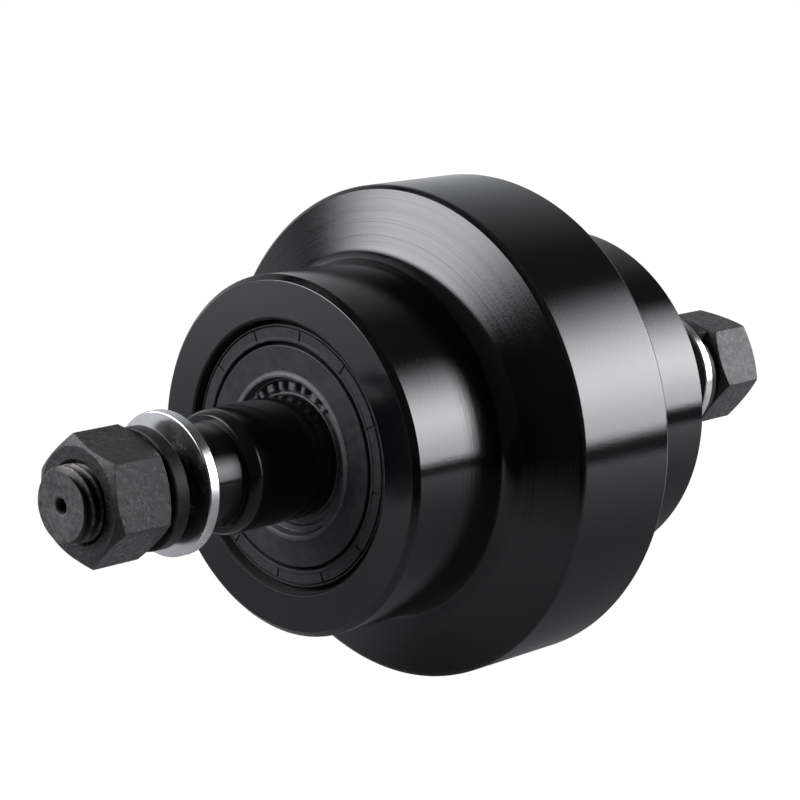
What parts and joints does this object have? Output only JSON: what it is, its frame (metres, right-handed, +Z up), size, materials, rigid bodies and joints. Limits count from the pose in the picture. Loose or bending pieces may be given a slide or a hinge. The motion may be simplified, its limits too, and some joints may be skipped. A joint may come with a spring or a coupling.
{
  "type": "track roller",
  "caption": "Track roller with a central guide flange, turning on a fixed shaft whose threaded ends carry nuts and washers.",
  "frame": {"origin": "centre of the roller on its spin axis, in the middle plane of the flange", "axes": "+Y along the spin axis from the front end to the rear end, +Z up, +X to the right seen from the front"},
  "size_m": [0.124, 0.2422, 0.124],
  "materials": {
    "roller_paint": "gloss black enamel over turned steel",
    "shaft_paint": "gloss black enamel over turned bar",
    "seal_rubber": "satin nitrile rubber",
    "seal_steel": "satin black coated steel",
    "bright_zinc": "bright zinc plate",
    "black_oxide": "matt black oxide",
    "bearing_steel": "ground bearing steel",
    "cage_brass": "machined brass",
    "spring_steel": "dark phosphated spring steel"
  },
  "bodies": {
    "shaft_assembly": {"shaft": "shaft_paint", "bearing_spacer": "spring_steel", "front_bearing_inner_race": "bearing_steel", "front_shaft_circlip": "spring_steel", "front_seal_wear_sleeve": "seal_steel", "rear_bearing_inner_race": "bearing_steel", "rear_shaft_circlip": "spring_steel", "rear_seal_wear_sleeve": "seal_steel"},
    "roller": {"roller_body": "roller_paint", "front_bearing_outer_race": "bearing_steel", "front_bore_circlip": "spring_steel", "front_seal_case": "spring_steel", "front_seal_rubber": "seal_rubber", "front_seal_garter_spring": "spring_steel", "rear_bearing_outer_race": "bearing_steel", "rear_bore_circlip": "spring_steel", "rear_seal_case": "spring_steel", "rear_seal_rubber": "seal_rubber", "rear_seal_garter_spring": "spring_steel"},
    "front_ball_set": {"front_bearing_balls": "bearing_steel", "front_bearing_cage": "cage_brass"},
    "rear_ball_set": {"rear_bearing_balls": "bearing_steel", "rear_bearing_cage": "cage_brass"},
    "front_washers": {"front_flat_washer": "bright_zinc", "front_spring_washer": "black_oxide"},
    "front_nut": {"front_nut": "black_oxide"},
    "rear_washers": {"rear_flat_washer": "bright_zinc", "rear_spring_washer": "black_oxide"},
    "rear_nut": {"rear_nut": "black_oxide"}
  },
  "joints": [
    {"name": "roller_spin", "type": "hinge", "parent": "shaft_assembly", "child": "roller", "pos_m": [0, 0, 0], "axis": [0, 1, 0], "continuous": true},
    {"name": "front_ball_orbit", "type": "hinge", "parent": "shaft_assembly", "child": "front_ball_set", "pos_m": [0, -0.0295, 0], "axis": [0, 1, 0], "continuous": true},
    {"name": "rear_ball_orbit", "type": "hinge", "parent": "shaft_assembly", "child": "rear_ball_set", "pos_m": [0, 0.0295, 0], "axis": [0, 1, 0], "continuous": true},
    {"name": "front_nut_slide", "type": "slide", "parent": "shaft_assembly", "child": "front_washers", "axis": [0, -1, 0], "range_m": [0, 0.0225]},
    {"name": "front_nut_turn", "type": "hinge", "parent": "front_washers", "child": "front_nut", "pos_m": [0, -0.1082, 0], "axis": [0, -1, 0], "range_deg": [0, 3240]},
    {"name": "rear_nut_slide", "type": "slide", "parent": "shaft_assembly", "child": "rear_washers", "axis": [0, 1, 0], "range_m": [0, 0.0225]},
    {"name": "rear_nut_turn", "type": "hinge", "parent": "rear_washers", "child": "rear_nut", "pos_m": [0, 0.1082, 0], "axis": [0, 1, 0], "range_deg": [0, 3240]}
  ],
  "couplings": [
    {"joint": "front_ball_orbit", "follows": "roller_spin", "ratio": 0.60353},
    {"joint": "rear_ball_orbit", "follows": "roller_spin", "ratio": 0.60353},
    {"joint": "front_nut_turn", "follows": "front_nut_slide", "rad_per_m": 2513.3},
    {"joint": "rear_nut_turn", "follows": "rear_nut_slide", "rad_per_m": 2513.3}
  ]
}
